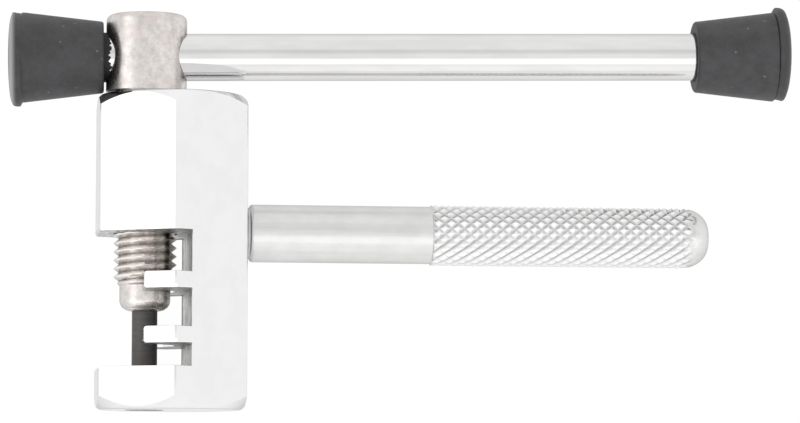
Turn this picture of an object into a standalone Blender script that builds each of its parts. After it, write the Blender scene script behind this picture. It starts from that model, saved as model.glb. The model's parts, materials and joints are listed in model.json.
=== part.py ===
"""A bicycle chain tool: a slotted hexagon body, its side handle, and a drive screw with a pin and a sliding bar.

Every piece is laid out on the tool standing upright: the hexagon's axis is Z, its plain end is z = 0, the
handle points along +X, and the slots are milled from -X. The tool then lies down on z = 0 as it rests on a
bench, on one edge of the hexagon, the handle's tip and the bar's far cap. World +Y runs from the plain end to
the screw's head, and the world origin is the centre of the footprint.
"""

import math

import bmesh
import bpy
from mathutils import Matrix, Vector

MM = 0.001

# Hexagon body
ACROSS_FLATS = 18.6 * MM
BODY_LENGTH = 39.7 * MM
EDGE_BEVEL = 0.25 * MM
END_FACE_RADIUS = 8.87 * MM
END_CHAMFER = 1.75 * MM
SPINE_INNER_X = 2.05 * MM
SHELF_TIP_X = -3.85 * MM
SLOTS = ((5.3 * MM, 8.1 * MM), (10.2 * MM, 14.9 * MM), (17.0 * MM, 22.15 * MM))
NOTCH_RADIUS = 4.0 * MM
ANVIL_HOLE_RADIUS = 2.5 * MM
SCREW_BORE_RADIUS = 4.07 * MM

# Drive screw, 5/16"-24 UNF
SCREW_X = -3.25 * MM
THREAD_RADIUS = 3.97 * MM
THREAD_END = BODY_LENGTH - 23.9 * MM
NOSE_RADIUS = 3.2 * MM
NOSE_END = BODY_LENGTH - 27.25 * MM
NOSE_CORNER = 1.35 * MM
HEAD_RADIUS = 5.1 * MM
HEAD_TOP = BODY_LENGTH + 10.2 * MM
HEAD_CHAMFER = 0.8 * MM
CROSS_HOLE_RADIUS = 3.15 * MM

# Drive pin
PIN_RADIUS = 1.6 * MM
PIN_TIP = 3.7 * MM
PIN_TIP_CHAMFER = 0.3 * MM
PIN_COLLAR_RADIUS = 2.25 * MM
PIN_COLLAR_LENGTH = 4.4 * MM
LIP_THICKNESS = 0.6 * MM
LIP_CLEARANCE = 0.1 * MM
BORE_CLEARANCE = 0.2 * MM

# Sliding bar and its caps; distances along the bar are measured from the screw's axis
BAR_RADIUS = 3.0 * MM
BAR_Z = BODY_LENGTH + 4.85 * MM
NEAR_CAP_START = 5.4 * MM
FAR_CAP_START = 69.85 * MM
CAP_LENGTH = 12.05 * MM
CAP_BORE_DEPTH = 10.5 * MM
CAP_BORE_CLEARANCE = 0.1 * MM
CAP_SMALL_RADIUS = 4.5 * MM
CAP_LARGE_RADIUS = 5.55 * MM
CAP_LIP_RADIUS = 5.9 * MM
CAP_LIP_WIDTH = 1.85 * MM
CAP_EDGE = 0.35 * MM
CAP_DOME = 0.7 * MM
BAR_CHAMFER = 0.4 * MM
# The loose bar lies a little askew in its hole, its far end raised towards the head's top
BAR_SKEW = math.radians(0.73)

# Side handle; it screws into the flat at +X
HANDLE_Z = 22.4 * MM
HANDLE_END = ACROSS_FLATS / 2 + 59.6 * MM
KNURL_START = ACROSS_FLATS / 2 + 24.1 * MM
SHANK_RADIUS = 3.65 * MM
KNURL_RADIUS = 3.875 * MM
HANDLE_TIP_DEPTH = 3.5 * MM
HANDLE_TIP_FALL = 2.6 * MM
STUD_RADIUS = 2.5 * MM
STUD_END_X = 3.3 * MM
STUD_CLEARANCE = 0.15 * MM

# The gap kept where two pieces rest on each other
SEAT_GAP = 0.3 * MM
TURNED_STEPS = 40
ARC_POINTS = 6
SHARP_ANGLE = math.radians(35)

CORNER_RADIUS = ACROSS_FLATS / math.sqrt(3)

# Lying down: one hexagon edge and the handle's tip touch the surface, then the bar swings until its far cap
# touches it too. Each lean turns the +X side down.
TIP_CONTACT_X = HANDLE_END - HANDLE_TIP_DEPTH
TOOL_LEAN = math.atan((CORNER_RADIUS - KNURL_RADIUS) / TIP_CONTACT_X)
AXIS_HEIGHT = CORNER_RADIUS * math.cos(TOOL_LEAN)
SCREW_HEIGHT = AXIS_HEIGHT - SCREW_X * math.sin(TOOL_LEAN)
CAP_CONTACT = FAR_CAP_START + CAP_LENGTH - CAP_DOME
BAR_LEAN = math.asin((SCREW_HEIGHT - CAP_LIP_RADIUS) / CAP_CONTACT)
BAR_MIDDLE = (FAR_CAP_START - NEAR_CAP_START) / 2
SCREW_WORLD_X = -BAR_MIDDLE * math.cos(BAR_LEAN)
WORLD_LENGTH = BAR_Z + CAP_CONTACT * math.sin(BAR_SKEW) + CAP_LIP_RADIUS * math.cos(BAR_SKEW)

MATERIALS = {
    # name: (colour, metallic, roughness)
    "chrome": ((0.86, 0.86, 0.87), 1.0, 0.08),
    "knurled_chrome": ((0.80, 0.80, 0.81), 1.0, 0.22),
    "nickel": ((0.66, 0.62, 0.58), 1.0, 0.30),
    "black_oxide": ((0.07, 0.068, 0.065), 1.0, 0.45),
    "polished_steel": ((0.84, 0.84, 0.83), 1.0, 0.12),
    "black_rubber": ((0.045, 0.045, 0.048), 0.0, 0.62),
}


def clear_scene():
    for obj in list(bpy.data.objects):
        bpy.data.objects.remove(obj, do_unlink=True)


def make_collection(name):
    collection = bpy.data.collections.new(name)
    bpy.context.scene.collection.children.link(collection)
    return collection


def make_material(name):
    colour, metallic, roughness = MATERIALS[name]
    material = bpy.data.materials.new(name)
    material.use_nodes = True
    shader = material.node_tree.nodes["Principled BSDF"]
    shader.inputs["Base Color"].default_value = (*colour, 1.0)
    shader.inputs["Metallic"].default_value = metallic
    shader.inputs["Roughness"].default_value = roughness
    material.diffuse_color = (*colour, 1.0)
    return material


def add_object(name, mesh, collection, parent, matrix=None):
    """An object with this mesh, placed by matrix in its parent's frame."""
    obj = bpy.data.objects.new(name, mesh)
    collection.objects.link(obj)
    obj.parent = parent
    if matrix is not None:
        obj.matrix_local = matrix
    return obj


def hide_as_cutter(obj):
    obj.hide_render = True
    obj.display_type = "WIRE"
    return obj


def arc(center, radii, start, end, points=ARC_POINTS):
    """Points of an elliptic arc in the (radius, height) plane, from one angle to another in degrees."""
    steps = [math.radians(start + (end - start) * i / points) for i in range(points + 1)]
    return [(center[0] + radii[0] * math.cos(a), center[1] + radii[1] * math.sin(a)) for a in steps]


def apply_modifiers(obj):
    """Keeps the shape that the modifiers give, and shades its round faces smooth."""
    graph = bpy.context.evaluated_depsgraph_get()
    shaped = bpy.data.meshes.new_from_object(obj.evaluated_get(graph))
    obj.modifiers.clear()
    obj.data = shaped
    shaped.shade_smooth()
    shaped.set_sharp_from_angle(angle=SHARP_ANGLE)


def turned(name, profile, collection, parent, matrix=None):
    """A solid of revolution about its own Z. The profile of (radius, height) runs down the outer side."""
    mesh = bpy.data.meshes.new(name)
    points = [(radius, 0.0, height) for radius, height in profile]
    mesh.from_pydata(points, [(i, i + 1) for i in range(len(points) - 1)], [])
    obj = add_object(name, mesh, collection, parent, matrix)
    screw = obj.modifiers.new("Turn", "SCREW")
    screw.axis = "Z"
    screw.angle = 2 * math.pi
    screw.steps = TURNED_STEPS
    screw.render_steps = TURNED_STEPS
    screw.use_merge_vertices = True
    screw.merge_threshold = 0.00001
    apply_modifiers(obj)
    return obj


def box_cutter(name, low, high, collection, parent):
    """A box between two corners."""
    low = Vector(low)
    high = Vector(high)
    bm = bmesh.new()
    bmesh.ops.create_cube(bm, size=1.0)
    bmesh.ops.scale(bm, vec=high - low, verts=bm.verts)
    bmesh.ops.translate(bm, vec=(low + high) / 2, verts=bm.verts)
    mesh = bpy.data.meshes.new(name)
    bm.to_mesh(mesh)
    bm.free()
    return hide_as_cutter(add_object(name, mesh, collection, parent))


def round_cutter(name, radius, low, high, collection, parent, matrix=None):
    """A cylinder along its own Z between two heights."""
    profile = [(0.0, high), (radius, high), (radius, low), (0.0, low)]
    return hide_as_cutter(turned(name, profile, collection, parent, matrix))


def combine(obj, operand, operation):
    boolean = obj.modifiers.new(operand.name, "BOOLEAN")
    boolean.operation = operation
    boolean.object = operand
    boolean.solver = "EXACT"


def along_x(x, y, z):
    """Turns a piece's own Z to +X and sets its origin at a point."""
    return Matrix.Translation((x, y, z)) @ Matrix.Rotation(math.pi / 2, 4, "Y")


def hexagon_bar(name, collection, parent):
    """The bar stock: flats face +X and -X, and its long edges are softened."""
    bm = bmesh.new()
    bmesh.ops.create_cone(
        bm, cap_ends=True, segments=6, radius1=CORNER_RADIUS, radius2=CORNER_RADIUS, depth=BODY_LENGTH
    )
    bmesh.ops.translate(bm, vec=(0, 0, BODY_LENGTH / 2), verts=bm.verts)
    # The cone's first corner is on the Y axis, so flats face +X and -X
    upright = [edge for edge in bm.edges if abs(edge.verts[0].co.z - edge.verts[1].co.z) > BODY_LENGTH / 2]
    bmesh.ops.bevel(bm, geom=upright, offset=EDGE_BEVEL, segments=2, profile=0.5, affect="EDGES")
    mesh = bpy.data.meshes.new(name)
    bm.to_mesh(mesh)
    bm.free()
    return add_object(name, mesh, collection, parent)


def make_hex_body(parts, cutters, tool):
    body = hexagon_bar("hex_body", parts, tool)
    outside = 1.5 * CORNER_RADIUS
    cone = END_CHAMFER / (CORNER_RADIUS - END_FACE_RADIUS) * (outside - END_FACE_RADIUS)
    envelope = [
        (0.0, BODY_LENGTH),
        (END_FACE_RADIUS, BODY_LENGTH),
        (outside, BODY_LENGTH - cone),
        (outside, cone),
        (END_FACE_RADIUS, 0.0),
        (0.0, 0.0),
    ]
    combine(body, hide_as_cutter(turned("end_chamfers", envelope, cutters, tool)), "INTERSECT")

    for number, (bottom, top) in enumerate(SLOTS, 1):
        low = (-outside, -outside, bottom)
        high = (SPINE_INNER_X, outside, top)
        combine(body, box_cutter(f"slot_{number}", low, high, cutters, tool), "DIFFERENCE")
    low = (-outside, -outside, SLOTS[0][1] - SEAT_GAP)
    high = (SHELF_TIP_X, outside, SLOTS[-1][0] + SEAT_GAP)
    combine(body, box_cutter("shelf_tips", low, high, cutters, tool), "DIFFERENCE")

    over_screw = Matrix.Translation((SCREW_X, 0, 0))
    drilled = (
        ("shelf_notch", NOTCH_RADIUS, SLOTS[0][1] - SEAT_GAP, SLOTS[-1][0] + SEAT_GAP),
        ("screw_bore", SCREW_BORE_RADIUS, SLOTS[-1][1] - MM, BODY_LENGTH + MM),
        ("anvil_hole", ANVIL_HOLE_RADIUS, -MM, SLOTS[0][0] + MM),
    )
    for name, radius, low, high in drilled:
        combine(body, round_cutter(name, radius, low, high, cutters, tool, over_screw), "DIFFERENCE")

    socket = round_cutter(
        "handle_socket",
        STUD_RADIUS + STUD_CLEARANCE,
        STUD_END_X - SEAT_GAP,
        ACROSS_FLATS / 2 + MM,
        cutters,
        tool,
        along_x(0, 0, HANDLE_Z),
    )
    combine(body, socket, "DIFFERENCE")
    return body


def make_side_handle(parts, tool):
    seat = ACROSS_FLATS / 2 + SEAT_GAP
    tip_flat = KNURL_RADIUS - HANDLE_TIP_FALL
    profile = [(0.0, HANDLE_END)]
    profile += reversed(arc((tip_flat, TIP_CONTACT_X), (HANDLE_TIP_FALL, HANDLE_TIP_DEPTH), 0, 90))
    profile += [
        (KNURL_RADIUS, KNURL_START + SEAT_GAP),
        (SHANK_RADIUS, KNURL_START),
        (SHANK_RADIUS, seat + SEAT_GAP),
        (SHANK_RADIUS - SEAT_GAP, seat),
        (STUD_RADIUS, seat),
        (STUD_RADIUS, STUD_END_X + SEAT_GAP),
        (STUD_RADIUS - SEAT_GAP, STUD_END_X),
        (0.0, STUD_END_X),
    ]
    return turned("side_handle", profile, parts, tool, along_x(0, 0, HANDLE_Z))


def make_drive_screw(parts, cutters, spindle):
    """The screw, with a blind bore in its nose whose lip holds the pin's collar in."""
    lip_radius = PIN_RADIUS + LIP_CLEARANCE
    bore_radius = PIN_COLLAR_RADIUS + BORE_CLEARANCE
    bore_floor = NOSE_END + LIP_THICKNESS
    bore_top = bore_floor + PIN_COLLAR_LENGTH + 2 * SEAT_GAP
    profile = [(0.0, HEAD_TOP)]
    profile += reversed(
        arc((HEAD_RADIUS - HEAD_CHAMFER, HEAD_TOP - HEAD_CHAMFER), (HEAD_CHAMFER, HEAD_CHAMFER), 0, 90, 3)
    )
    profile += [
        (HEAD_RADIUS, BODY_LENGTH + SEAT_GAP),
        (THREAD_RADIUS, BODY_LENGTH + SEAT_GAP),
        (THREAD_RADIUS, THREAD_END),
        (NOSE_RADIUS, THREAD_END),
    ]
    profile += arc((NOSE_RADIUS - NOSE_CORNER, NOSE_END + NOSE_CORNER), (NOSE_CORNER, NOSE_CORNER), 0, -90, 3)
    profile += [
        (lip_radius, NOSE_END),
        (lip_radius, bore_floor),
        (bore_radius, bore_floor),
        (bore_radius, bore_top),
        (0.0, bore_top),
    ]
    screw = turned("drive_screw", profile, parts, spindle)
    through = 2 * HEAD_RADIUS
    hole = round_cutter(
        "cross_hole", CROSS_HOLE_RADIUS, -through, through, cutters, spindle, along_x(0, 0, BAR_Z)
    )
    combine(screw, hole, "DIFFERENCE")
    return screw


def make_drive_pin(parts, tool):
    collar_bottom = NOSE_END + LIP_THICKNESS + SEAT_GAP
    collar_top = collar_bottom + PIN_COLLAR_LENGTH
    profile = [
        (0.0, collar_top),
        (PIN_COLLAR_RADIUS, collar_top),
        (PIN_COLLAR_RADIUS, collar_bottom),
        (PIN_RADIUS, collar_bottom),
        (PIN_RADIUS, PIN_TIP + PIN_TIP_CHAMFER),
        (PIN_RADIUS - PIN_TIP_CHAMFER, PIN_TIP),
        (0.0, PIN_TIP),
    ]
    return turned("drive_pin", profile, parts, tool, Matrix.Translation((SCREW_X, 0, 0)))


def make_tommy_bar(parts, bar_axis):
    bore_end = CAP_BORE_DEPTH - SEAT_GAP
    near_end = -NEAR_CAP_START - bore_end
    far_end = FAR_CAP_START + bore_end
    profile = [
        (0.0, far_end),
        (BAR_RADIUS - BAR_CHAMFER, far_end),
        (BAR_RADIUS, far_end - BAR_CHAMFER),
        (BAR_RADIUS, near_end + BAR_CHAMFER),
        (BAR_RADIUS - BAR_CHAMFER, near_end),
        (0.0, near_end),
    ]
    return turned("tommy_bar", profile, parts, bar_axis, along_x(0, 0, 0))


def make_bar_cap(name, parts, bar_axis, start, turn):
    """A rubber cap that opens towards the screw, turned about the screw's axis onto its end of the bar."""
    lip_start = CAP_LENGTH - CAP_LIP_WIDTH
    bore_radius = BAR_RADIUS + CAP_BORE_CLEARANCE
    profile = [(0.0, CAP_LENGTH)]
    profile += reversed(
        arc((CAP_LIP_RADIUS - 2 * CAP_DOME, CAP_LENGTH - CAP_DOME), (2 * CAP_DOME, CAP_DOME), 0, 90, 4)
    )
    profile += [
        (CAP_LIP_RADIUS, lip_start + CAP_EDGE / 2),
        (CAP_LARGE_RADIUS, lip_start),
        (CAP_SMALL_RADIUS, CAP_EDGE),
        (CAP_SMALL_RADIUS - CAP_EDGE, 0.0),
        (bore_radius, 0.0),
        (bore_radius, CAP_BORE_DEPTH),
        (0.0, CAP_BORE_DEPTH),
    ]
    matrix = Matrix.Rotation(turn, 4, "Z") @ along_x(start, 0, 0)
    return turned(name, profile, parts, bar_axis, matrix)


def main():
    clear_scene()
    parts = make_collection("chain_tool")
    cutters = make_collection("cutters")

    tool = add_object("tool_at_rest", None, parts, None)
    hex_world_x = SCREW_WORLD_X - SCREW_X * math.cos(TOOL_LEAN)
    tool.matrix_world = (
        Matrix.Translation((hex_world_x, -WORLD_LENGTH / 2, AXIS_HEIGHT))
        @ Matrix.Rotation(TOOL_LEAN, 4, "Y")
        @ Matrix.Rotation(-math.pi / 2, 4, "X")
    )
    swing = Matrix.Rotation(BAR_LEAN - TOOL_LEAN, 4, "Z")
    spindle = add_object("screw_axis", None, parts, tool, Matrix.Translation((SCREW_X, 0, 0)) @ swing)
    skew = Matrix.Rotation(-BAR_SKEW, 4, "Y")
    bar_axis = add_object("bar_axis", None, parts, spindle, Matrix.Translation((0, 0, BAR_Z)) @ skew)

    near_cap = make_bar_cap("bar_cap_left", parts, bar_axis, NEAR_CAP_START, math.pi)
    far_cap = make_bar_cap("bar_cap_right", parts, bar_axis, FAR_CAP_START, 0.0)
    pieces = (
        (make_hex_body(parts, cutters, tool), "chrome"),
        (make_side_handle(parts, tool), "knurled_chrome"),
        (make_drive_screw(parts, cutters, spindle), "nickel"),
        (make_drive_pin(parts, tool), "black_oxide"),
        (make_tommy_bar(parts, bar_axis), "polished_steel"),
        (near_cap, "black_rubber"),
        (far_cap, "black_rubber"),
    )
    for obj, material in pieces:
        obj.data.materials.append(make_material(material))


main()
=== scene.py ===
"""Looks of the bicycle chain tool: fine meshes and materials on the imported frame, camera, table and light.

Each piece is modelled with the tool standing upright (hexagon axis Z, plain end z = 0, handle +X, camera on
the -Y side), and a matrix worked out from the record lays it down as it rests on the table. Distances on the
standing tool are in millimetres until a mesh is made.
"""

import json
import math

import bmesh
import bpy
import numpy as np
from mathutils import Matrix, Vector


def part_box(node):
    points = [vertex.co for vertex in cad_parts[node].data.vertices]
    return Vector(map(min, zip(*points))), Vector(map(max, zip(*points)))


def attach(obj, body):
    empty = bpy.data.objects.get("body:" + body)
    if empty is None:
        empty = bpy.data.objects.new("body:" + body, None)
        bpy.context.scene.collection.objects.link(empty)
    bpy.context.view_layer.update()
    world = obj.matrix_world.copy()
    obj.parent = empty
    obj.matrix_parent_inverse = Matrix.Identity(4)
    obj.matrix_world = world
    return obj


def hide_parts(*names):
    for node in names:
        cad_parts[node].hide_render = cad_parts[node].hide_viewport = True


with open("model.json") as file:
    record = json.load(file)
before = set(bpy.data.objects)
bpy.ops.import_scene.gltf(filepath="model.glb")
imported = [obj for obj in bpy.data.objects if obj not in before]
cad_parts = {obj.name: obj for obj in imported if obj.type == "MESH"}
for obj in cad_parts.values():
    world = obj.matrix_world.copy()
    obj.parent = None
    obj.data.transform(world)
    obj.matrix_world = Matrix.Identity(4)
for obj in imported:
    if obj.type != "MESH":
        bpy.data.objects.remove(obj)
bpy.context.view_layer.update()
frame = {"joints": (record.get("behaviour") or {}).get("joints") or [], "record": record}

MM = 0.001

# Hexagon body
ACROSS_FLATS = 18.6
CORNER_RADIUS = ACROSS_FLATS / math.sqrt(3)
BODY_LENGTH = 39.7
EDGE_RADIUS = 0.5
END_FACE_RADIUS = 8.87
END_CHAMFER = 1.75
# The end chamfer is slightly crowned: (run, fall) beyond the end face's radius
CROWN = ((0.12, 0.07), (0.3, 0.22), (0.55, 0.45), (0.95, 0.85), (1.4, 1.27), (1.87, END_CHAMFER))
SPINE_INNER_X = 2.05
SHELF_TIP_X = -3.85
# Each slot's bottom and top; the two shelves stand between them
SLOTS = ((5.3, 8.1), (10.2, 14.9), (17.0, 22.15))
NOTCH_RADIUS = 4.0
ANVIL_HOLE_RADIUS = 2.5
SCREW_X = -3.25
SCREW_BORE_RADIUS = 4.07
CUT_EDGE = 0.1
CORNER_ROUND = 0.4

# Drive screw, 5/16"-24 UNF
THREAD_RADIUS = 3.97
THREAD_PITCH = 25.4 / 24
THREAD_DEPTH = 0.63
THREAD_ROOT = THREAD_RADIUS - THREAD_DEPTH
THREAD_END = BODY_LENGTH - 23.9
THREAD_PHASE = 0.27
NOSE_RADIUS = 3.2
NOSE_END = BODY_LENGTH - 27.25
NOSE_CORNER = 1.35
NOSE_CORNER_STEPS = 24
# The steps of the nose's rolled corner where its two turned lines are pressed in
NOSE_LINES = (4, 5, 9, 10)
HEAD_RADIUS = 5.1
HEAD_EDGE = 0.85
HEAD_BOTTOM = BODY_LENGTH + 0.3
HEAD_TOP = BODY_LENGTH + 10.2
CROSS_HOLE_RADIUS = 3.15
BAR_Z = BODY_LENGTH + 4.85

# Drive pin; its collar is hidden in the screw's nose
PIN_RADIUS = 1.6
PIN_TIP = 3.7
PIN_EDGE = 0.25
COLLAR_RADIUS = 2.2
COLLAR_START = NOSE_END + 0.9
COLLAR_END = NOSE_END + 5.3

# Sliding bar and caps; distances along the bar are from the screw's axis
BAR_RADIUS = 3.0
BAR_EDGE = 0.4
BAR_END_GAP = 0.3
NEAR_CAP_START = 5.4
FAR_CAP_START = 69.85
CAP_LENGTH = 12.05
CAP_BORE_DEPTH = 10.5
CAP_BORE_RADIUS = 3.1
CAP_MOUTH_RADIUS = 4.56
CAP_MOUTH_EDGE = 0.35
CAP_FLARE = 1.12
CAP_LIP_WIDTH = 1.85
CAP_LIP_RADIUS = 5.92
CAP_DOME_HEIGHT = 0.62
CAP_SEGMENTS = 180

# Side handle; its knurl begins 0.4 mm nearer the body, and its tip ends 0.2 mm sooner, than in the CAD model
HANDLE_Z = 22.4
HANDLE_SEAT = ACROSS_FLATS / 2 + 0.3
HANDLE_END = ACROSS_FLATS / 2 + 59.4
SHANK_RADIUS = 3.65
STUD_RADIUS = 2.5
STUD_END_X = 3.3
TIP_LENGTH = 3.5
TIP_FLAT = 1.25
KNURL_START = ACROSS_FLATS / 2 + 23.7
KNURL_END = ACROSS_FLATS / 2 + 57.4
KNURL_RADIUS = 3.875
KNURL_DEPTH = 0.42
KNURL_STARTS = 16
KNURL_PITCH = 1.64
# Mesh steps across each diamond
KNURL_SAMPLES = 14
# The side of the handle, about its own axis, where both knurling wheels bit equally
EVEN_SIDE = math.radians(205)

# How much of the light a metal still returns at a glancing angle
EDGE_TINT = 0.65

# Light tent. A band is four angles in degrees, from overhead towards +Y: it brightens from the first to the
# second, and fades from the third to the fourth. A gain is what it adds to the tent's own level of 1.
PANEL_BAND = (-46.0, -36.0, -17.0, -9.0)
PANEL_GAIN = 0.38
LOW_PANEL_BAND = (-79.0, -75.0, -60.0, -35.0)
LOW_PANEL_GAIN = 0.14
LEFT_PANEL_GAIN = 0.45
DIM_STRIP_BAND = (3.0, 20.0, 26.0, 38.0)
DIM_STRIP_GAIN = -0.17
TABLE_GLOW = 0.97

# Camera
LENS = 177.46
SENSOR = 36.0
CAMERA_DISTANCE = 498.06
CAMERA_TILT = math.radians(4.45)
CAMERA_PAN = math.radians(1.07)
CAMERA_ROLL = math.radians(0.16)
VIEW_CENTRE = (32.10, 25.18)

MOUNTS = {mount["name"]: mount for mount in frame["record"]["mounts"]}
JOINTS = {joint["name"]: joint for joint in frame["joints"]}


def laid_down(x, height, lean):
    """The matrix of a standing frame that lies down with its plain end at the body's and its +X side down."""
    plain_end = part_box("hex_body")[0].y
    return (
        Matrix.Translation((x, plain_end, height))
        @ Matrix.Rotation(lean, 4, "Y")
        @ Matrix.Rotation(-math.pi / 2, 4, "X")
    )


def tool_matrix():
    """The hexagon's frame: its axis runs midway between the two opposite flats that a vice grips."""
    upper = MOUNTS["vice_flat_upper"]
    lower = MOUNTS["vice_flat_lower"]
    middle = (Vector(upper["pos_m"]) + Vector(lower["pos_m"])) / 2
    normal = Vector(upper["axis"])
    return laid_down(middle.x, middle.z, math.atan2(normal.z, -normal.x) - math.radians(60))


def spindle_matrix():
    """The screw's frame: on its own axis, turned so that +X is under the bar."""
    axis = Vector(JOINTS["screw_turn"]["pos_m"])
    bar = Vector(JOINTS["bar_slide"]["axis"])
    return laid_down(axis.x, axis.z, math.atan2(bar.z, -bar.x))


TOOL = tool_matrix()
SPINDLE = spindle_matrix()
BAR_SKEW = math.asin(-JOINTS["bar_slide"]["axis"][1])
BAR = SPINDLE @ Matrix.Translation((0, 0, BAR_Z * MM)) @ Matrix.Rotation(-BAR_SKEW, 4, "Y")
PIN = TOOL @ Matrix.Translation((SCREW_X * MM, 0, 0))
HANDLE = TOOL @ Matrix.Translation((0, 0, HANDLE_Z * MM)) @ Matrix.Rotation(math.pi / 2, 4, "Y")
TURN_TO_BAR = Matrix.Rotation(math.pi / 2, 4, "Y")


# ---------------------------------------------------------------- meshes

def arc(center, radii, start, end, points=8):
    """Points of an elliptic arc in the (radius, height) plane, from one angle to another in degrees."""
    angles = np.radians(np.linspace(start, end, points + 1))
    return [(center[0] + radii[0] * math.cos(a), center[1] + radii[1] * math.sin(a)) for a in angles]


def new_object(name, mesh, matrix=None):
    obj = bpy.data.objects.new(name, mesh)
    bpy.context.scene.collection.objects.link(obj)
    if matrix is not None:
        obj.matrix_world = matrix
    return obj


def closed_rings(name, radii, heights, matrix=None, sharp=30.0, shift=None):
    """A closed solid of rings about Z. radii is one row of samples per ring, and the first and last ring are
    capped by a fan. shift moves each ring sideways. The rings may run up or down."""
    radii = np.asarray(radii, float)
    heights = np.asarray(heights, float)
    rings, segments = radii.shape
    angles = np.linspace(0, 2 * math.pi, segments, endpoint=False)
    points = np.empty((rings, segments, 3))
    points[..., 0] = radii * np.cos(angles)
    points[..., 1] = radii * np.sin(angles)
    points[..., 2] = heights[:, None] if heights.ndim == 1 else heights
    if shift is not None:
        points[..., :2] += np.asarray(shift)[:, None, :]
    ends = np.array([points[0].mean(0), points[-1].mean(0)])
    verts = np.concatenate([points.reshape(-1, 3), ends]) * MM
    first = np.arange(rings * segments).reshape(rings, segments)
    after = np.roll(first, -1, axis=1)
    quads = np.stack([first[:-1], after[:-1], after[1:], first[1:]], -1).reshape(-1, 4)
    low = rings * segments
    fans = [(low, int(b), int(a)) for a, b in zip(first[0], after[0])]
    fans += [(low + 1, int(a), int(b)) for a, b in zip(first[-1], after[-1])]
    mesh = bpy.data.meshes.new(name)
    mesh.from_pydata(verts.tolist(), [], quads.tolist() + fans)
    bm = bmesh.new()
    bm.from_mesh(mesh)
    bmesh.ops.recalc_face_normals(bm, faces=bm.faces)
    bm.to_mesh(mesh)
    bm.free()
    mesh.shade_smooth()
    mesh.set_sharp_from_angle(angle=math.radians(sharp))
    return new_object(name, mesh, matrix)


def lathe(name, profile, matrix=None, segments=128, sharp=30.0):
    """A solid of revolution from (radius, height) points."""
    profile = np.array([point for point in profile if point[0] > 0])
    radii = np.repeat(profile[:, :1], segments, axis=1)
    return closed_rings(name, radii, profile[:, 1], matrix, sharp)


def box(name, low, high):
    """A box between two opposite corners."""
    bm = bmesh.new()
    bmesh.ops.create_cube(bm, size=1.0)
    bmesh.ops.scale(bm, vec=(Vector(high) - Vector(low)) * MM, verts=bm.verts)
    bmesh.ops.translate(bm, vec=(Vector(high) + Vector(low)) / 2 * MM, verts=bm.verts)
    mesh = bpy.data.meshes.new(name)
    bm.to_mesh(mesh)
    bm.free()
    return new_object(name, mesh)


def column(name, radius, low, high, matrix=None, segments=96):
    """A cylinder about Z from one height to another."""
    return lathe(name, [(radius, high), (radius, low)], matrix, segments)


def bake(obj):
    """Keeps the shape that the modifiers give, normals included."""
    graph = bpy.context.evaluated_depsgraph_get()
    shaped = bpy.data.meshes.new_from_object(obj.evaluated_get(graph), depsgraph=graph)
    obj.modifiers.clear()
    obj.data = shaped


def combine(obj, operand, operation="DIFFERENCE"):
    """Cuts obj by the operand, or keeps what they share, and removes the operand."""
    boolean = obj.modifiers.new("Boolean", "BOOLEAN")
    boolean.operation = operation
    boolean.object = operand
    boolean.solver = "EXACT"
    bake(obj)
    bpy.data.objects.remove(operand, do_unlink=True)


def joined(obj, other):
    """Adds the other object's solid to obj as it stands; the two share a frame."""
    bm = bmesh.new()
    bm.from_mesh(obj.data)
    bm.from_mesh(other.data)
    bm.to_mesh(obj.data)
    bm.free()
    bpy.data.objects.remove(other, do_unlink=True)
    return obj


def along_bar(distance):
    """From a frame about the bar, out along it, with Z turned to point away from the screw."""
    return Matrix.Translation((distance * MM, 0, 0)) @ TURN_TO_BAR


# ---------------------------------------------------------------- pieces

def hexagon_bar():
    """The bar stock, its long edges rounded, 1 mm too long at each end; flats face +X and -X."""
    outline = []
    reach = CORNER_RADIUS - EDGE_RADIUS / math.cos(math.radians(30))
    for corner in range(6):
        middle = math.radians(30 + 60 * corner)
        for turn in (-30, -15, 0, 15, 30):
            angle = middle + math.radians(turn)
            x = reach * math.cos(middle) + EDGE_RADIUS * math.cos(angle)
            y = reach * math.sin(middle) + EDGE_RADIUS * math.sin(angle)
            outline.append((x, y))
    bm = bmesh.new()
    floor = [bm.verts.new((x * MM, y * MM, -MM)) for x, y in outline]
    bottom = bm.faces.new(floor)
    top = bmesh.ops.extrude_face_region(bm, geom=[bottom])["geom"]
    lifted = [item for item in top if isinstance(item, bmesh.types.BMVert)]
    bmesh.ops.translate(bm, vec=(0, 0, (BODY_LENGTH + 2) * MM), verts=lifted)
    bmesh.ops.recalc_face_normals(bm, faces=bm.faces)
    mesh = bpy.data.meshes.new("chrome_body")
    bm.to_mesh(mesh)
    bm.free()
    return new_object("chrome_body", mesh)


def is_milled(face):
    """Whether a face is a slot's inner wall or one of its two sides."""
    x, height = face.center.x / MM, face.center.z / MM
    inner = face.normal.x < -0.9 and abs(x - SPINE_INNER_X) < 0.1
    side = abs(face.normal.z) > 0.9 and any(abs(height - level) < 0.05 for slot in SLOTS for level in slot)
    return inner or side


def prism(name, outline):
    """A solid of an (x, z) outline drawn along Y through the whole tool."""
    reach = 1.5 * CORNER_RADIUS
    bm = bmesh.new()
    face = bm.faces.new([bm.verts.new((x * MM, -reach * MM, z * MM)) for x, z in outline])
    drawn = bmesh.ops.extrude_face_region(bm, geom=[face])["geom"]
    moved = [item for item in drawn if isinstance(item, bmesh.types.BMVert)]
    bmesh.ops.translate(bm, vec=(0, 2 * reach * MM, 0), verts=moved)
    bmesh.ops.recalc_face_normals(bm, faces=bm.faces)
    mesh = bpy.data.meshes.new(name)
    bm.to_mesh(mesh)
    bm.free()
    return new_object(name, mesh)


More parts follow.
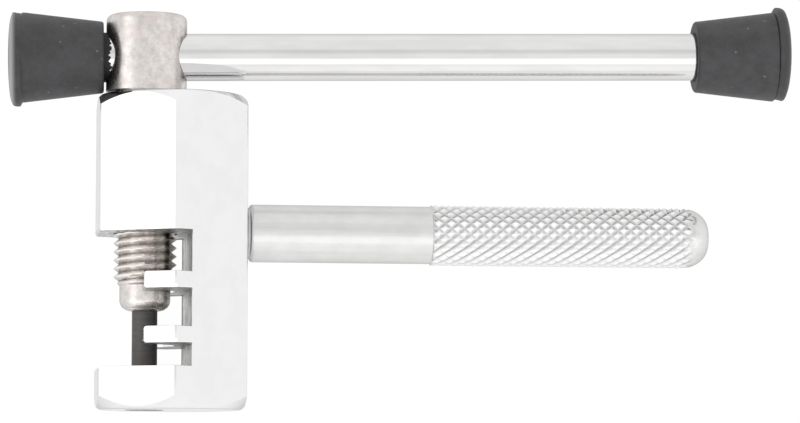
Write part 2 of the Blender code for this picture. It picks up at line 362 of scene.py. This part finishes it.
def round_corner(body, x, z, side):
    """Rounds the corner where an upright face at x meets a level face at z, through the whole body. side is
    +1 when the solid lies above the level face, and -1 when it lies below."""
    middle = (x + CORNER_ROUND, z + side * CORNER_ROUND)
    outline = arc(middle, (CORNER_ROUND, side * CORNER_ROUND), 180, 270, 6)
    outline += [(middle[0], z - side), (x - 1, z - side), (x - 1, middle[1])]
    combine(body, prism("corner", outline))


def soften_slot_edges(body):
    """A narrow bevel on the slots' outer edges; the drawn stock's own edges are rounded already."""
    low, high = (SLOTS[0][0] - 0.1) * MM, (SLOTS[-1][1] + 0.1) * MM
    bm = bmesh.new()
    bm.from_mesh(body.data)
    weight = bm.edges.layers.float.new("bevel_weight_edge")
    for edge in bm.edges:
        in_slots = all(low < vert.co.z < high for vert in edge.verts)
        if in_slots and edge.calc_face_angle_signed(0) > math.radians(38):
            edge[weight] = 1.0
    bm.to_mesh(body.data)
    bm.free()
    bevel = body.modifiers.new("Worn edges", "BEVEL")
    bevel.width = CUT_EDGE * MM
    bevel.segments = 2
    bevel.limit_method = "WEIGHT"
    bake(body)


def make_body(chrome, milled):
    """The hexagon bar with its chamfered ends, the slots, the notch across the shelves and the holes."""
    body = hexagon_bar()
    outside = 1.4 * CORNER_RADIUS
    crown = [(END_FACE_RADIUS - 0.12, 0.0)]
    crown += [(END_FACE_RADIUS + run, fall) for run, fall in CROWN]
    crown.append((outside, END_CHAMFER + 1.05 * (outside - CORNER_RADIUS)))
    envelope = [(radius, BODY_LENGTH - fall) for radius, fall in crown] + list(reversed(crown))
    combine(body, lathe("envelope", envelope), "INTERSECT")
    for bottom, top in SLOTS:
        combine(body, box("slot", (-outside, -outside, bottom), (SPINE_INNER_X, outside, top)))
    low = (-outside, -outside, SLOTS[0][1] - 0.3)
    combine(body, box("tips", low, (SHELF_TIP_X, outside, SLOTS[-1][0] + 0.3)))
    soften_slot_edges(body)
    for slot, (bottom, top) in enumerate(SLOTS):
        round_corner(body, SHELF_TIP_X if slot else -ACROSS_FLATS / 2, bottom, -1)
        round_corner(body, SHELF_TIP_X if slot < 2 else -ACROSS_FLATS / 2, top, 1)

    over_screw = Matrix.Translation((SCREW_X * MM, 0, 0))
    for radius, bottom, top in (
        (NOTCH_RADIUS, SLOTS[0][1] - 0.2, SLOTS[-1][0] + 0.2),
        (SCREW_BORE_RADIUS, SLOTS[-1][1] - 1, BODY_LENGTH + 1),
        (ANVIL_HOLE_RADIUS, -1, SLOTS[0][0] + 1),
    ):
        combine(body, column("drill", radius, bottom, top, over_screw))
    socket = Matrix.Translation((0, 0, HANDLE_Z * MM)) @ TURN_TO_BAR
    combine(body, column("socket", STUD_RADIUS + 0.15, STUD_END_X - 0.3, ACROSS_FLATS, socket))

    body.data.materials.clear()
    body.data.materials.append(chrome)
    body.data.materials.append(milled)
    for face in body.data.polygons:
        face.material_index = int(is_milled(face))
    body.data.shade_smooth()
    body.data.set_sharp_from_angle(angle=math.radians(25))
    weighted = body.modifiers.new("Flat faces", "WEIGHTED_NORMAL")
    weighted.weight = 80
    weighted.keep_sharp = True
    bake(body)
    body.matrix_world = TOOL
    return body


def triangle_wave(turns):
    """0 at each whole turn, 1 halfway between."""
    return 1 - np.abs(2 * (turns % 1.0) - 1)


def handle_profile():
    """(radius, height) rings from the end of the hidden stud to the small dimple in the tip."""
    rings = [(STUD_RADIUS - 0.3, STUD_END_X), (STUD_RADIUS, STUD_END_X + 0.3), (STUD_RADIUS, HANDLE_SEAT)]
    rings += [(SHANK_RADIUS - 0.55, HANDLE_SEAT), (SHANK_RADIUS - 0.5, HANDLE_SEAT + 0.1)]
    rings += arc((SHANK_RADIUS - 0.45, HANDLE_SEAT + 0.65), (0.45, 0.4), -80, 0, 6)
    rings += [(SHANK_RADIUS, z) for z in np.linspace(HANDLE_SEAT + 1.5, KNURL_START - 0.1, 12)]
    step = KNURL_PITCH / KNURL_SAMPLES
    rings += [(KNURL_RADIUS, z) for z in np.arange(KNURL_START, HANDLE_END - TIP_LENGTH, step)]
    rings += arc((TIP_FLAT, HANDLE_END - TIP_LENGTH), (KNURL_RADIUS - TIP_FLAT, TIP_LENGTH), 0, 90, 18)
    rings += [(0.75, HANDLE_END), (0.5, HANDLE_END - 0.18), (0.12, HANDLE_END - 0.25)]
    return np.array(rings)


def knurl_cut(heights):
    """How deep the two crossing sets of grooves cut, for each ring and each place around it."""
    turns = np.linspace(0, KNURL_STARTS, KNURL_STARTS * KNURL_SAMPLES, endpoint=False)[None, :]
    travel = (heights / KNURL_PITCH)[:, None]
    left = triangle_wave(turns + travel)
    right = triangle_wave(turns - travel)
    bite = 0.66 + 0.34 * np.cos(2 * math.pi * turns / KNURL_STARTS - EVEN_SIDE)
    right = 1 - (1 - right) * bite
    crest = np.minimum(np.minimum(left, right) * 1.08, 1.0)
    start = np.clip((heights - KNURL_START + 0.1) / 0.35, 0, 1)
    finish = np.clip((KNURL_END - heights) / 0.9, 0, 1)
    return (KNURL_DEPTH * start * finish)[:, None] * (1 - crest)


def make_handle(metal):
    """The hidden stud, the plain shank and the diamond knurl."""
    rings = handle_profile()
    heights = rings[:, 1]
    handle = closed_rings("knurled_handle", rings[:, :1] - knurl_cut(heights), heights, HANDLE, sharp=42.0)
    handle.data.materials.append(metal)
    return handle


def thread_form(turns):
    """Height above the root, 0 to 1: a narrow crest at each whole turn, straight flanks and a narrow root."""
    flank = np.abs(2 * ((turns + 0.5) % 1.0) - 1)
    return np.clip((0.96 - flank) / 0.9, 0, 1)


def nose_profile():
    """(radius, height) rings from inside the nose's mouth, round its rolled corner and up to the thread."""
    rings = [(PIN_RADIUS + 0.1, NOSE_END + 0.6), (PIN_RADIUS + 0.1, NOSE_END + 0.05)]
    rings += [(PIN_RADIUS + 0.16, NOSE_END - 0.03), (PIN_RADIUS + 0.28, NOSE_END)]
    middle = (NOSE_RADIUS - NOSE_CORNER, NOSE_END + NOSE_CORNER)
    rolled = arc(middle, (NOSE_CORNER, NOSE_CORNER), -90, 0, NOSE_CORNER_STEPS)
    for step in NOSE_LINES:
        radius, height = rolled[step]
        rolled[step] = (radius - 0.05, height + 0.05)
    rings += rolled
    rings += [(NOSE_RADIUS, z) for z in np.arange(NOSE_END + NOSE_CORNER + 0.2, THREAD_END - 0.3, 0.2)]
    return rings


def make_shank():
    """The nose and the thread, which is cut as a true helix."""
    thread_rows = np.arange(THREAD_END - 0.25, HEAD_BOTTOM + 0.2, THREAD_PITCH / 16)
    rings = np.array(nose_profile() + [(THREAD_ROOT, z) for z in thread_rows])
    z = rings[:, 1][:, None]
    around = np.linspace(0, 1, 120, endpoint=False)[None, :]
    in_thread = (z >= thread_rows[0]).astype(float)
    runout = np.clip((z - thread_rows[0]) / 0.3, 0, 1)
    base = np.where(in_thread > 0, NOSE_RADIUS + (THREAD_ROOT - NOSE_RADIUS) * runout, rings[:, :1])
    starting = np.clip((z - THREAD_END + 0.2) / 0.75, 0, 1)
    form = thread_form(z / THREAD_PITCH - around - THREAD_PHASE)
    radii = base + in_thread * THREAD_DEPTH * form * starting
    return closed_rings("shank", radii, rings[:, 1], sharp=60.0)


def make_head():
    """The round head with its rounded top edge and the cross hole for the bar."""
    profile = [(HEAD_RADIUS - 0.15, HEAD_BOTTOM), (HEAD_RADIUS, HEAD_BOTTOM + 0.15)]
    profile += [(HEAD_RADIUS, z) for z in np.linspace(HEAD_BOTTOM + 1.5, HEAD_TOP - HEAD_EDGE - 0.5, 6)]
    profile += arc((HEAD_RADIUS - HEAD_EDGE, HEAD_TOP - HEAD_EDGE), (HEAD_EDGE, HEAD_EDGE), 0, 90, 10)
    profile += [(radius, HEAD_TOP) for radius in (3.5, 2.0, 0.6)]
    head = lathe("threaded_screw", profile, segments=160)
    hole_at = Matrix.Translation((0, 0, BAR_Z * MM)) @ TURN_TO_BAR
    combine(head, column("cross_hole", CROSS_HOLE_RADIUS, -HEAD_RADIUS - 1, HEAD_RADIUS + 1, hole_at, 112))
    return head


def make_screw(metal):
    """The head and the threaded shank as one piece, on the spindle's own axis."""
    shank = make_shank()
    screw = joined(make_head(), shank)
    screw.data.materials.clear()
    screw.data.materials.append(metal)
    screw.matrix_world = SPINDLE
    return screw


def make_pin(metal):
    """The collar that the screw's nose holds, and the pin below it."""
    profile = [(COLLAR_RADIUS, COLLAR_END), (COLLAR_RADIUS, COLLAR_START), (PIN_RADIUS, COLLAR_START)]
    profile += [(PIN_RADIUS, z) for z in np.linspace(NOSE_END + 0.5, PIN_TIP + 0.6, 12)]
    profile += arc((PIN_RADIUS - PIN_EDGE, PIN_TIP + PIN_EDGE), (PIN_EDGE, PIN_EDGE), 0, -90, 5)
    pin = lathe("press_pin", profile, PIN, 96)
    pin.data.materials.append(metal)
    return pin


def make_bar(metal):
    """The plain rod, which ends just short of the floor of each cap's bore."""
    near = -NEAR_CAP_START - CAP_BORE_DEPTH + BAR_END_GAP
    far = FAR_CAP_START + CAP_BORE_DEPTH - BAR_END_GAP
    profile = arc((BAR_RADIUS - BAR_EDGE, near + BAR_EDGE), (BAR_EDGE, BAR_EDGE), -90, 0, 5)
    profile += [(BAR_RADIUS, z) for z in np.linspace(near + 2, far - 2, 40)]
    profile += arc((BAR_RADIUS - BAR_EDGE, far - BAR_EDGE), (BAR_EDGE, BAR_EDGE), 0, 90, 5)
    bar = lathe("polished_bar", profile, BAR @ TURN_TO_BAR, 128)
    bar.data.materials.append(metal)
    return bar


def ragged_flash(around, reach):
    """How far a torn skin of rubber runs out along the bar from the open end, for each place around it."""
    waves = ((7, 0.9, 0.3), (17, 2.1, 0.35), (29, 4.0, 0.35), (43, 0.3, 0.2))
    tear = sum(size * np.sin(count * around + start) for count, start, size in waves)
    return -reach * (0.8 + 0.3 * tear)


def cap_bore():
    """(radius, height) points from the bore's floor to the mouth. The fourth and fifth are the edge of the
    thin skin that grips the bar."""
    points = [(CAP_BORE_RADIUS - 0.3, CAP_BORE_DEPTH), (CAP_BORE_RADIUS, CAP_BORE_DEPTH - 0.3)]
    points += [(CAP_BORE_RADIUS - 0.07, 0.4), (CAP_BORE_RADIUS - 0.07, -0.01)]
    points += [(CAP_BORE_RADIUS + 0.02, -0.02), (CAP_BORE_RADIUS + 0.06, 0.05), (CAP_BORE_RADIUS + 0.4, 0.0)]
    return points


def cap_outside(seam, rim, seam_depth):
    """(radius, height) points from the mouth up the flared side, over the lip and across the low dome."""
    widest = CAP_MOUTH_RADIUS + CAP_FLARE
    mouth = (CAP_MOUTH_RADIUS - CAP_MOUTH_EDGE, CAP_MOUTH_EDGE)
    points = arc(mouth, (CAP_MOUTH_EDGE, CAP_MOUTH_EDGE), -90, 0, 6)
    climb = np.linspace(0.04, 1, 26)
    points += [(CAP_MOUTH_RADIUS + CAP_FLARE * t, 0.4 + (seam - 0.65) * t) for t in climb]
    points += [(widest - 0.01, seam - 0.08), (widest - seam_depth, seam)]
    points += [(widest + 0.03, seam + 0.1), (widest + 0.1, seam + 0.2)]
    points += [(CAP_LIP_RADIUS - 0.03, seam + 0.32), (CAP_LIP_RADIUS, seam + 0.75)]
    points += arc((CAP_LIP_RADIUS - 0.28, rim - 0.2), (0.28, 0.3), 8, 68, 6)
    points += arc((0.0, rim + 0.12), (5.5, CAP_DOME_HEIGHT - 0.12), 14, 88, 11)
    return points


def make_cap(name, matrix, lip_shift, seam_depth, flash, rubber):
    """A moulded rubber cap about its own Z, open end at 0. Its lip stands a little to one side, as it sat in
    the mould: lip_shift is how far, in mm. seam_depth is the groove before the lip, and flash is how far the
    cap's torn inner skin shows on the bar."""
    seam = CAP_LENGTH - CAP_LIP_WIDTH
    rim = CAP_LENGTH - CAP_DOME_HEIGHT
    bore = cap_bore()
    profile = np.array(bore + cap_outside(seam, rim, seam_depth))
    radii = np.repeat(profile[:, :1], CAP_SEGMENTS, axis=1)
    heights = np.repeat(profile[:, 1:], CAP_SEGMENTS, axis=1)
    skin_edge = slice(3, 5)
    heights[skin_edge] += ragged_flash(np.linspace(0, 2 * math.pi, CAP_SEGMENTS, endpoint=False), flash)
    of_lip = np.clip((profile[:, 1] - seam) / 0.25, 0, 1) * (np.arange(len(profile)) >= len(bore))
    of_lip *= 0.55 + 0.45 * np.clip((rim - profile[:, 1]) / 0.6, 0, 1)
    shift = np.stack([of_lip * lip_shift, np.zeros(len(profile))], 1)
    cap = closed_rings(name, radii, heights, matrix, 34.0, shift)
    cap.data.materials.append(rubber)
    return cap


# ---------------------------------------------------------------- materials

def node(tree, kind, inputs=None, **settings):
    """A node with its settings and inputs; an input is a value or another node's output socket."""
    made = tree.nodes.new(kind)
    for key, value in settings.items():
        setattr(made, key, value)
    for key, value in (inputs or {}).items():
        if isinstance(value, bpy.types.NodeSocket):
            tree.links.new(value, made.inputs[key])
        else:
            made.inputs[key].default_value = value
    return made


def math_node(tree, operation, *values):
    return node(tree, "ShaderNodeMath", dict(enumerate(values)), operation=operation).outputs[0]


def product(tree, first, second):
    return math_node(tree, "MULTIPLY", first, second)


def total(tree, first, *others):
    for other in others:
        first = math_node(tree, "ADD", first, other)
    return first


def mapped(tree, value, low, high, to_low=0.0, to_high=1.0):
    """The value carried smoothly from one range to another, clamped."""
    inputs = {0: value, 1: low, 2: high, 3: to_low, 4: to_high}
    return node(tree, "ShaderNodeMapRange", inputs, interpolation_type="SMOOTHSTEP").outputs[0]


def band(tree, value, edges):
    """1 between the middle two of four edges, falling smoothly to 0 at the outer two."""
    start, full, fade, end = edges
    return product(tree, mapped(tree, value, start, full), mapped(tree, value, fade, end, 1.0, 0.0))


def place(tree, scale=(1.0, 1.0, 1.0)):
    """The piece's own coordinates in millimetres, stretched by scale."""
    source = node(tree, "ShaderNodeTexCoord").outputs["Object"]
    stretch = tuple(s / MM for s in scale)
    return node(tree, "ShaderNodeMapping", {"Vector": source, "Scale": stretch}).outputs[0]


def coordinates(tree):
    """The piece's own x, y and z, in millimetres."""
    return node(tree, "ShaderNodeSeparateXYZ", {0: place(tree)}).outputs


def radius_and_height(tree):
    """Distance from the piece's own Z, and height along it, in millimetres."""
    x, y, z = coordinates(tree)
    return math_node(tree, "SQRT", total(tree, product(tree, x, x), product(tree, y, y))), z


def noise(tree, vector, scale, detail=3.0, roughness=0.55):
    inputs = {"Vector": vector, "Scale": scale, "Detail": detail, "Roughness": roughness}
    return node(tree, "ShaderNodeTexNoise", inputs).outputs["Fac"]


def blend(tree, factor, first, second):
    """A colour between two others, each of them a red, green and blue triple or a socket."""
    first, second = ((*colour, 1.0) if isinstance(colour, tuple) else colour for colour in (first, second))
    return node(tree, "ShaderNodeMix", {0: factor, 6: first, 7: second}, data_type="RGBA").outputs[2]


def new_material(name, metallic=1.0):
    """A new material with its node tree and its shader; metals get the common edge tint."""
    material = bpy.data.materials.new(name)
    material.use_nodes = True
    tree = material.node_tree
    shader = tree.nodes["Principled BSDF"]
    shader.inputs["Metallic"].default_value = metallic
    if metallic:
        shader.inputs["Specular Tint"].default_value = (EDGE_TINT, EDGE_TINT, EDGE_TINT, 1.0)
    return material, tree, shader


def set_surface(tree, shader, colour, roughness, height, strength, depth):
    """Links the colour, the roughness and a bump of the height; depth is the bump's own, in millimetres."""
    inputs = {"Height": height, "Strength": strength, "Distance": depth * MM}
    bump = node(tree, "ShaderNodeBump", inputs).outputs["Normal"]
    for name, socket in (("Base Color", colour), ("Roughness", roughness), ("Normal", bump)):
        tree.links.new(socket, shader.inputs[name])


def chrome_material():
    """Bright plate over a tumbled surface: faintly cloudy, with a very shallow ripple."""
    material, tree, shader = new_material("chrome_plate")
    space = place(tree)
    cloud = mapped(tree, noise(tree, space, 0.35, 3.0), 0.35, 0.65)
    colour = blend(tree, cloud, (0.85, 0.85, 0.86), (0.875, 0.875, 0.88))
    roughness = mapped(tree, noise(tree, space, 1.1, 4.0), 0.3, 0.75, 0.07, 0.14)
    ripple = noise(tree, space, 0.5, 2.0)
    set_surface(tree, shader, colour, roughness, ripple, 0.2, 0.02)
    return material


def milled_material():
    """The slots' walls and sides: dull, mottled by the cutter, and dark at the edge away from the camera,
    where shade is painted on.
    """
    material, tree, shader = new_material("milled_steel")
    marks = noise(tree, place(tree, (1.4, 0.8, 0.4)), 1.0, 6.0, 0.75)
    colour = blend(tree, mapped(tree, marks, 0.38, 0.6), (0.31, 0.31, 0.305), (0.94, 0.94, 0.92))
    wander = noise(tree, place(tree, (1.0, 0.2, 1.0)), 2.5, 3.0)
    # Painted shade: the walls turn near black towards their far edge, deep in the slots.
    away = total(tree, coordinates(tree)[1], wander)
    colour = blend(tree, mapped(tree, away, 7.4, 8.6), colour, (0.10, 0.10, 0.10))
    roughness = mapped(tree, marks, 0.3, 0.7, 0.3, 0.45)
    set_surface(tree, shader, colour, roughness, marks, 0.6, 0.08)
    return material


def handle_material():
    """Satin plate; the shank carries faint turning marks, and the knurl's grooves are darkened as painted
    shade.
    """
    material, tree, shader = new_material("satin_chrome")
    drawn = noise(tree, place(tree, (2.2, 2.2, 0.05)), 1.0, 4.0, 0.6)
    cloud = noise(tree, place(tree), 0.4, 3.0)
    tone = total(tree, product(tree, drawn, 0.5), product(tree, cloud, 0.5))
    colour = blend(tree, mapped(tree, tone, 0.35, 0.65), (0.69, 0.69, 0.68), (0.76, 0.755, 0.75))
    radius, z = radius_and_height(tree)
    on_knurl = band(tree, z, (KNURL_START, KNURL_START + 0.2, KNURL_END - 1.2, KNURL_END - 0.6))
    colour = blend(tree, on_knurl, colour, (0.92, 0.92, 0.915))
    bottom = KNURL_RADIUS - KNURL_DEPTH
    # Painted shade: the knurl darkens towards the bottom of its grooves.
    groove_shade = product(tree, mapped(tree, radius, bottom, bottom + 0.38, 0.95, 0.0), on_knurl)
    colour = blend(tree, groove_shade, colour, (0.58, 0.58, 0.58))
    roughness = mapped(tree, drawn, 0.3, 0.7, 0.28, 0.36)
    set_surface(tree, shader, colour, roughness, drawn, 0.15, 0.02)
    return material


def nickel_material():
    """Dull warm plate, mottled in cream, pink and grey, with fine pits and turning lines; the thread's crests
    are lightened as a painted highlight, and its root is darkened as painted shade."""
    material, tree, shader = new_material("dull_nickel")
    space = place(tree)
    cloud = noise(tree, space, 0.8, 6.0, 0.7)
    colour = blend(tree, mapped(tree, cloud, 0.3, 0.7), (0.58, 0.55, 0.53), (0.82, 0.78, 0.75))
    blush = mapped(tree, noise(tree, place(tree, (1.0, 1.0, 0.6)), 0.8, 3.0), 0.5, 0.68, 0.0, 0.6)
    colour = blend(tree, blush, colour, (0.76, 0.66, 0.64))
    speck = mapped(tree, noise(tree, space, 4.0, 2.0), 0.68, 0.74, 0.0, 0.5)
    colour = blend(tree, speck, colour, (0.95, 0.93, 0.9))
    radius, z = radius_and_height(tree)
    on_thread = band(tree, z, (THREAD_END + 0.1, THREAD_END + 0.5, BODY_LENGTH, BODY_LENGTH + 0.3))
    # Painted shade: the thread darkens towards its root.
    groove_shade = mapped(tree, radius, THREAD_ROOT + 0.02, THREAD_ROOT + 0.18, 0.7, 0.0)
    colour = blend(tree, product(tree, groove_shade, on_thread), colour, (0.32, 0.285, 0.26))
    # Painted highlight: the thread's crests are made near white.
    crest = mapped(tree, radius, THREAD_RADIUS - 0.38, THREAD_RADIUS - 0.06)
    colour = blend(tree, product(tree, crest, on_thread), colour, (0.93, 0.90, 0.87))
    dull = mapped(tree, cloud, 0.3, 0.7, 0.32, 0.22)
    roughness = math_node(tree, "SUBTRACT", dull, product(tree, on_thread, 0.12))
    lines = noise(tree, place(tree, (0.1, 0.1, 6.0)), 1.0, 3.0)
    height = total(tree, product(tree, lines, 0.3), noise(tree, space, 1.8, 3.0))
    height = product(tree, height, mapped(tree, on_thread, 0.0, 1.0, 1.0, 0.25))
    set_surface(tree, shader, colour, roughness, height, 0.3, 0.03)
    return material


def pin_material():
    """Black oxide, browner towards the tip, with a fine ground grain."""
    material, tree, shader = new_material("black_oxide", 0.6)
    grain = noise(tree, place(tree, (0.3, 0.3, 5.0)), 1.5, 3.0)
    colour = blend(tree, mapped(tree, grain, 0.3, 0.7), (0.088, 0.084, 0.081), (0.125, 0.12, 0.117))
    worn = mapped(tree, coordinates(tree)[2], PIN_TIP + 1.4, PIN_TIP + 2.8, 0.7, 0.0)
    colour = blend(tree, worn, colour, (0.17, 0.12, 0.09))
    roughness = mapped(tree, grain, 0.3, 0.7, 0.42, 0.55)
    set_surface(tree, shader, colour, roughness, grain, 0.2, 0.02)
    return material


def bar_material():
    """Drawn and polished rod: hairlines along its length."""
    material, tree, shader = new_material("polished_rod")
    hair = noise(tree, place(tree, (7.0, 7.0, 0.04)), 1.0, 3.0, 0.7)
    cloud = noise(tree, place(tree, (0.6, 0.6, 0.12)), 1.0, 3.0)
    colour = blend(tree, mapped(tree, cloud, 0.35, 0.65), (0.735, 0.73, 0.725), (0.785, 0.78, 0.775))
    roughness = mapped(tree, hair, 0.3, 0.75, 0.05, 0.10)
    set_surface(tree, shader, colour, roughness, hair, 0.08, 0.01)
    return material


def rubber_material(name, rim_paleness):
    """Matte moulded rubber with dust specks, scuffs and a soft bloom. The skin torn at its mouth is blackest,
    and the last argument sets how much paler the rim of its closed end is made."""
    material, tree, shader = new_material(name, 0.0)
    space = place(tree)
    bloom = mapped(tree, noise(tree, space, 0.45, 6.0, 0.7), 0.35, 0.65)
    colour = blend(tree, bloom, (0.039, 0.039, 0.041), (0.055, 0.055, 0.058))
    cells = node(tree, "ShaderNodeTexVoronoi", {"Vector": space, "Scale": 0.5}).outputs["Distance"]
    colour = blend(tree, mapped(tree, cells, 0.03, 0.11, 0.3, 0.0), colour, (0.33, 0.33, 0.33))
    radius, z = radius_and_height(tree)
    # The rim of the closed end is made paler, by as much as the last argument gives.
    at_end = mapped(tree, z, CAP_LENGTH - 1.1, CAP_LENGTH - 0.35)
    at_rim = mapped(tree, radius, 2.5, 5.4, 0.1, rim_paleness)
    colour = blend(tree, product(tree, at_end, at_rim), colour, (0.34, 0.34, 0.34))
    colour = blend(tree, mapped(tree, z, -0.1, 0.3, 0.85, 0.0), colour, (0.008, 0.008, 0.008))
    grain = noise(tree, space, 7.0, 3.0)
    height = total(tree, product(tree, grain, 0.35), noise(tree, space, 1.6, 3.0))
    set_surface(tree, shader, colour, mapped(tree, grain, 0.3, 0.7, 0.5, 0.66), height, 0.35, 0.06)
    shader.inputs["Specular IOR Level"].default_value = 0.42
    return material


# ---------------------------------------------------------------- table, light and camera

def make_table():
    """A plain white table that glows a little, so the tool throws almost no shadow."""
    bm = bmesh.new()
    bmesh.ops.create_circle(bm, cap_ends=True, segments=96, radius=3.0)
    mesh = bpy.data.meshes.new("table")
    bm.to_mesh(mesh)
    bm.free()
    table = new_object("table", mesh)
    material = bpy.data.materials.new("white_table")
    material.use_nodes = True
    tree = material.node_tree
    shader = tree.nodes["Principled BSDF"]
    colour = blend(tree, noise(tree, place(tree), 0.02, 2.0), (0.05, 0.05, 0.05), (0.06, 0.06, 0.06))
    tree.links.new(colour, shader.inputs["Base Color"])
    shader.inputs["Roughness"].default_value = 0.9
    shader.inputs["Specular IOR Level"].default_value = 0.0
    shader.inputs["Emission Color"].default_value = (1.0, 1.0, 1.0, 1.0)
    shader.inputs["Emission Strength"].default_value = TABLE_GLOW
    mesh.materials.append(material)


def make_light():
    """A white tent: a bright panel overhead on the plain end's side with a faint one below it, another bright
    one on the left, and a dim strip overhead on the screw head's side."""
    world = bpy.data.worlds.new("tent")
    bpy.context.scene.world = world
    world.use_nodes = True
    tree = world.node_tree
    direction = node(tree, "ShaderNodeTexCoord").outputs["Generated"]
    x, y, z = node(tree, "ShaderNodeSeparateXYZ", {0: direction}).outputs
    swing = product(tree, math_node(tree, "ARCTAN2", y, z), 180 / math.pi)
    near_middle = mapped(tree, math_node(tree, "ABSOLUTE", x), 0.35, 0.6, 1.0, 0.0)
    areas = (
        (band(tree, swing, PANEL_BAND), PANEL_GAIN),
        (band(tree, swing, LOW_PANEL_BAND), LOW_PANEL_GAIN),
        (product(tree, mapped(tree, x, -0.75, -0.5, 1.0, 0.0), mapped(tree, z, 0.3, 0.5)), LEFT_PANEL_GAIN),
        (product(tree, band(tree, swing, DIM_STRIP_BAND), near_middle), DIM_STRIP_GAIN),
    )
    level = total(tree, 1.0, *(product(tree, area, gain) for area, gain in areas))
    background = tree.nodes["Background"]
    background.inputs["Color"].default_value = (1.0, 1.0, 1.0, 1.0)
    tree.links.new(level, background.inputs["Strength"])


def make_camera():
    """A long lens that looks almost straight down, from a little way towards the plain end."""
    tilt, pan = CAMERA_TILT, CAMERA_PAN
    forward = Vector((math.sin(pan) * math.cos(tilt), math.sin(tilt), -math.cos(pan) * math.cos(tilt)))
    level_right = Vector((math.cos(pan), 0, math.sin(pan)))
    level_up = level_right.cross(forward)
    right = level_right * math.cos(CAMERA_ROLL) + level_up * math.sin(CAMERA_ROLL)
    up = level_up * math.cos(CAMERA_ROLL) - level_right * math.sin(CAMERA_ROLL)
    screw_x = JOINTS["screw_turn"]["pos_m"][0]
    plain_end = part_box("hex_body")[0].y
    centre = Vector((screw_x + VIEW_CENTRE[0] * MM, plain_end + VIEW_CENTRE[1] * MM, TOOL.translation.z))
    data = bpy.data.cameras.new("camera")
    data.lens = LENS
    data.sensor_width = SENSOR
    data.clip_end = 20.0
    camera = new_object("camera", data)
    rotation = Matrix((right, up, -forward)).transposed().to_4x4()
    camera.matrix_world = Matrix.Translation(centre - forward * CAMERA_DISTANCE * MM) @ rotation
    bpy.context.scene.camera = camera


def main():
    pale_rim_rubber = rubber_material("black_rubber_pale_rim", 0.9)
    rubber = rubber_material("black_rubber", 0.15)
    near = BAR @ Matrix.Rotation(math.pi, 4, "Z") @ along_bar(NEAR_CAP_START)
    far = BAR @ along_bar(FAR_CAP_START)
    pieces = (
        (make_body(chrome_material(), milled_material()), "hex_body", "frame", "body"),
        (make_handle(handle_material()), "side_handle", "frame", "handle"),
        (make_screw(nickel_material()), "drive_screw", "spindle", "screw"),
        (make_pin(pin_material()), "drive_pin", "pin", "pin"),
        (make_bar(bar_material()), "tommy_bar", "bar", "bar"),
        (make_cap("rubber_cap_left", near, 0.3, 0.0, 0.95, pale_rim_rubber), "bar_cap_left", "bar", "cap"),
        (make_cap("rubber_cap_right", far, -0.45, 0.2, 0.1, rubber), "bar_cap_right", "bar", "cap"),
    )
    for piece, cad_node, body, slot in pieces:
        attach(piece, body)
        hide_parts(cad_node)
    make_table()
    make_light()
    make_camera()
    bpy.context.scene.view_settings.view_transform = "Standard"


main()
